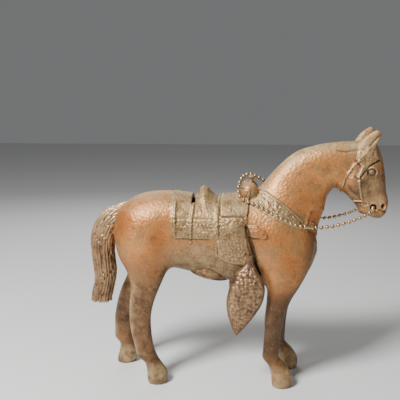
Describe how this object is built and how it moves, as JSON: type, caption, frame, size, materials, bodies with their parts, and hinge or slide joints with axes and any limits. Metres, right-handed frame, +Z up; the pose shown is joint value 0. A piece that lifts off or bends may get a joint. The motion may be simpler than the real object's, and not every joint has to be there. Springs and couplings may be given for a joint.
{
  "type": "figural animal coin bank",
  "caption": "Hollow cast standing horse with saddle and bead-chain reins, a coin slot across the back and a round quarter-turn lock trap in the belly.",
  "frame": {"origin": "under the middle of the horse, on the plane its four hooves stand on", "axes": "+X towards the head, +Y to the horse's own left, +Z up"},
  "size_m": [0.2429, 0.066, 0.2084],
  "materials": {
    "cast_copper": "worn copper wash over cast pot metal, satin with glossy spots",
    "cast_brown": "dark brown patina over cast pot metal, glossy",
    "bead_chain": "tarnished cream-tan plating, glossy",
    "trap_steel": "stamped, dull plating",
    "lock_brass": "turned, satin"
  },
  "bodies": {
    "casting": {"body_right_half": "cast_copper", "body_left_half": "cast_copper", "tail": "cast_brown", "tapadero_right": "cast_brown", "tapadero_left": "cast_brown", "rein_chain_front": "bead_chain", "rein_chain_rear": "bead_chain", "chain_connector": "bead_chain"},
    "trap": {"trap_cover": "trap_steel", "trap_skirt": "trap_steel", "lock_housing": "lock_brass", "lock_nut": "trap_steel"},
    "lock": {"lock_plug": "lock_brass", "lock_washer": "trap_steel", "lock_bar": "trap_steel", "lock_rivet": "trap_steel"}
  },
  "joints": [
    {"name": "trap_pull", "type": "slide", "parent": "casting", "child": "trap", "axis": [-0.2207, 0, -0.9753], "range_m": [0, 0.035]},
    {"name": "lock_turn", "type": "hinge", "parent": "trap", "child": "lock", "pos_m": [-0.0205, 0, 0.089], "axis": [-0.2207, 0, -0.9753], "range_deg": [0, 90]}
  ]
}
